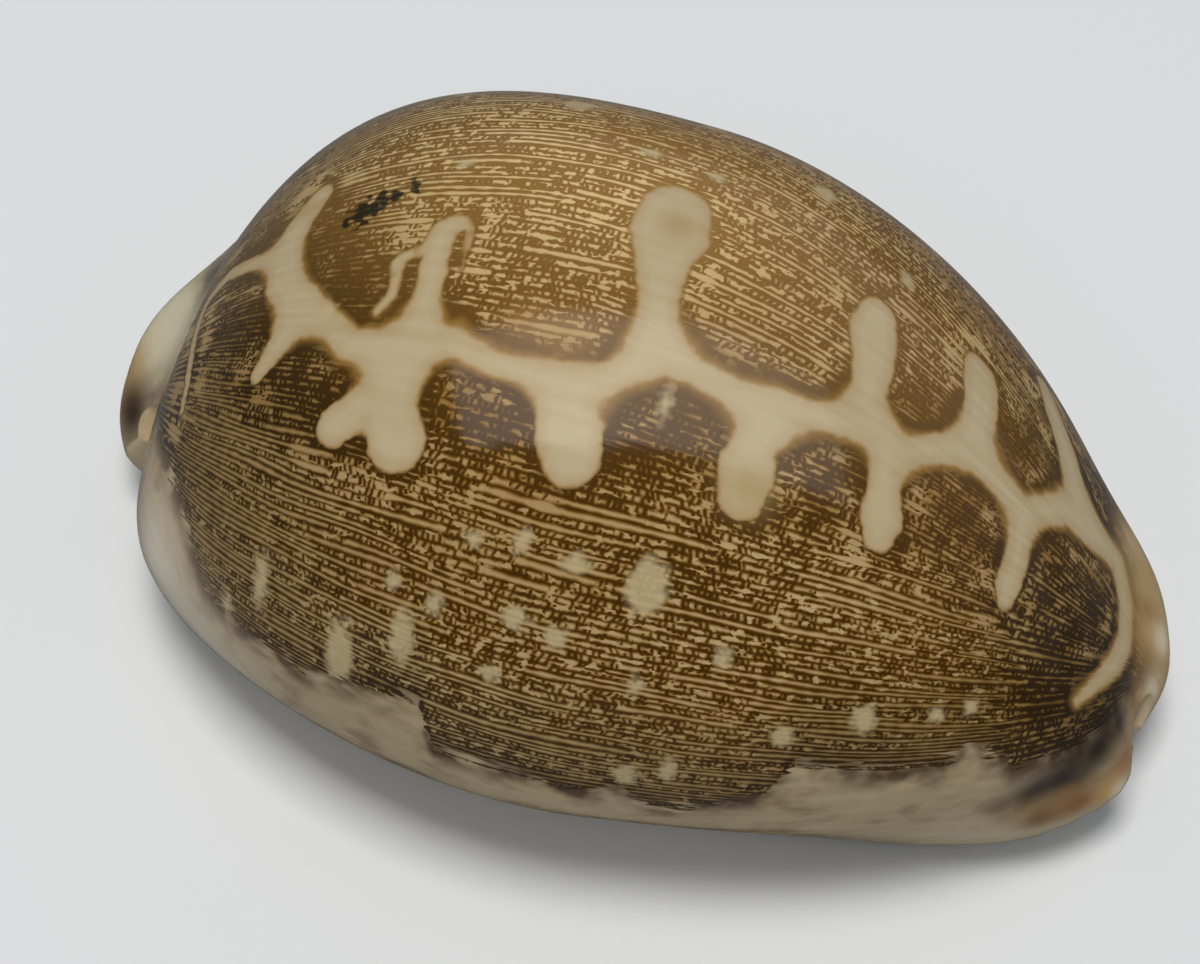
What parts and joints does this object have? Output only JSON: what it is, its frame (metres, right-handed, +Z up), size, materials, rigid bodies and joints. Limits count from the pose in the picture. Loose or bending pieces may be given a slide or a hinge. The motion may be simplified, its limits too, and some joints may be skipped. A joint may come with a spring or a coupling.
{
  "type": "cowrie shell",
  "caption": "Glossy egg-shaped cowrie shell with brown script-like markings, a pale wavy line, dark blotches and spots, lying on its toothed slit.",
  "frame": {"origin": "under the middle of the shell, on the surface that it lies on", "axes": "+X towards the front (anterior) end, +Y towards the spire side, -Y towards the outer lip, +Z up through the dome"},
  "size_m": [0.075, 0.0496, 0.0358],
  "materials": {
    "glossy_shell": "polished"
  },
  "bodies": {
    "root": {"shell": "glossy_shell"}
  },
  "joints": []
}
